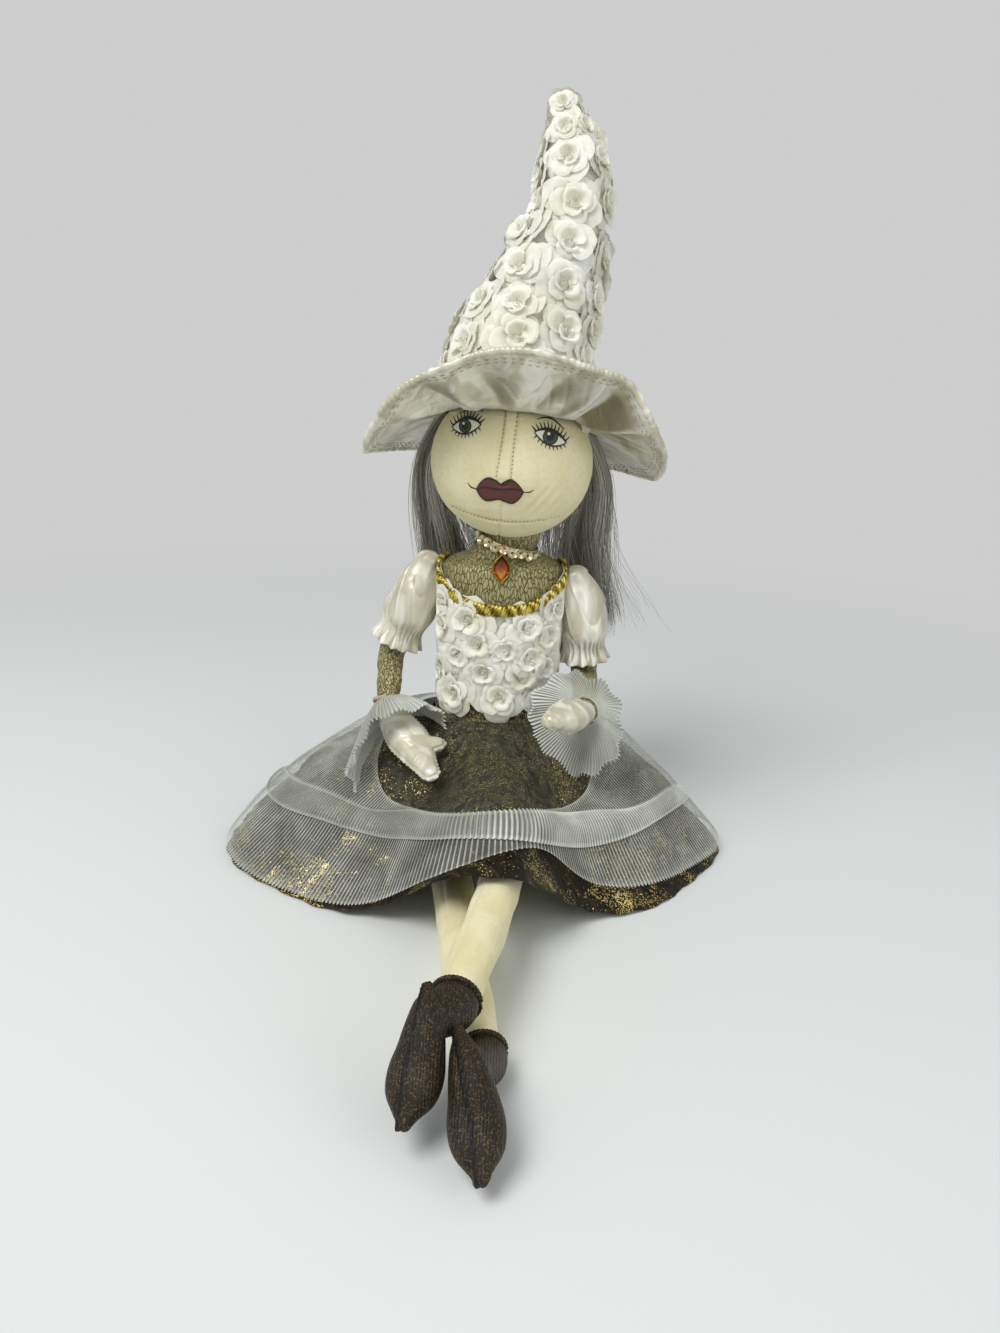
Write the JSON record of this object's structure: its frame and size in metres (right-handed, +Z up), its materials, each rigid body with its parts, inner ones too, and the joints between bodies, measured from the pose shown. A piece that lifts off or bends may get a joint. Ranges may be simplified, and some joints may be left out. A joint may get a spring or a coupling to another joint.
{
  "type": "seated cloth witch doll",
  "caption": "Seated stuffed cloth witch doll in a tall rose-covered pointed hat, with a layered organza skirt, puff sleeves, jointed limbs and pointed slippers.",
  "frame": {"origin": "centre of the seat's flat underside, on the surface that the doll sits on", "axes": "+Z up, -Y the way the doll faces, +X towards the doll's left hand"},
  "size_m": [0.3721, 0.4648, 0.5222],
  "materials": {
    "muslin": "plain cream cotton muslin",
    "satin": "ivory satin with a soft sheen",
    "chiffon_roses": "matt ivory chiffon roses",
    "crinkle_lame": "crinkled olive-gold lame",
    "gold_braid": "metallic gold gimp braid",
    "glitter_crinkle": "dark crinkled fabric with gold glitter",
    "gold_lame": "brown and gold lame",
    "organza": "sheer grey-white pleated organza",
    "lurex": "dark brown lurex",
    "hair": "fine grey doll hair",
    "sequins": "gold cup sequins on a narrow band",
    "gilt_metal": "polished gilt",
    "amber_stone": "clear amber-coloured faceted stone"
  },
  "bodies": {
    "trunk": {"torso_body": "crinkle_lame", "neck": "crinkle_lame", "bodice": "chiffon_roses", "neckline_trim": "gold_braid", "waistband": "glitter_crinkle", "underskirt": "gold_lame", "organza_flounce": "organza", "glitter_overlay": "glitter_crinkle", "choker": "sequins", "pendant_setting": "gilt_metal", "pendant_stone": "amber_stone"},
    "head_and_hat": {"head": "muslin", "hat_crown": "chiffon_roses", "hat_brim": "satin", "brim_wire": "satin", "hair_right": "hair", "hair_left": "hair", "hair_back": "hair"},
    "right_upper_arm": {"sleeve_right": "satin", "upper_arm_right": "crinkle_lame"},
    "right_forearm": {"forearm_right": "crinkle_lame", "hand_right": "satin", "cuff_ruffle_right": "organza", "cuff_tie_right": "organza"},
    "left_upper_arm": {"sleeve_left": "satin", "upper_arm_left": "crinkle_lame"},
    "left_forearm": {"forearm_left": "crinkle_lame", "hand_left": "satin", "cuff_ruffle_left": "organza", "cuff_tie_left": "organza"},
    "right_leg": {"leg_right": "muslin", "shoe_right": "lurex"},
    "left_leg": {"leg_left": "muslin", "shoe_left": "lurex"}
  },
  "joints": [
    {"name": "neck_nod", "type": "hinge", "parent": "trunk", "child": "head_and_hat", "pos_m": [0.0135, -0.002, 0.24], "axis": [1, 0, 0], "range_deg": [-4, 10]},
    {"name": "right_shoulder_lift", "type": "hinge", "parent": "trunk", "child": "right_upper_arm", "pos_m": [-0.0516, 0, 0.197], "axis": [-1, 0, 0], "range_deg": [0, 60]},
    {"name": "right_elbow_bend", "type": "hinge", "parent": "right_upper_arm", "child": "right_forearm", "pos_m": [-0.0726, 0.005, 0.139], "axis": [-1, 0, 0], "range_deg": [0, 40]},
    {"name": "left_shoulder_lift", "type": "hinge", "parent": "trunk", "child": "left_upper_arm", "pos_m": [0.0646, 0, 0.191], "axis": [-1, 0, 0], "range_deg": [0, 50]},
    {"name": "left_elbow_bend", "type": "hinge", "parent": "left_upper_arm", "child": "left_forearm", "pos_m": [0.0706, 0.004, 0.132], "axis": [-1, 0, 0], "range_deg": [0, 15]},
    {"name": "right_hip_drop", "type": "hinge", "parent": "trunk", "child": "right_leg", "pos_m": [-0.028, -0.046, 0.0155], "axis": [-1, 0, 0], "range_deg": [-60, 0]},
    {"name": "left_hip_lift", "type": "hinge", "parent": "trunk", "child": "left_leg", "pos_m": [0.028, -0.046, 0.0215], "axis": [-1, 0, 0], "range_deg": [0, 60], "deforming": ["underskirt", "organza_flounce", "glitter_overlay"]}
  ]
}
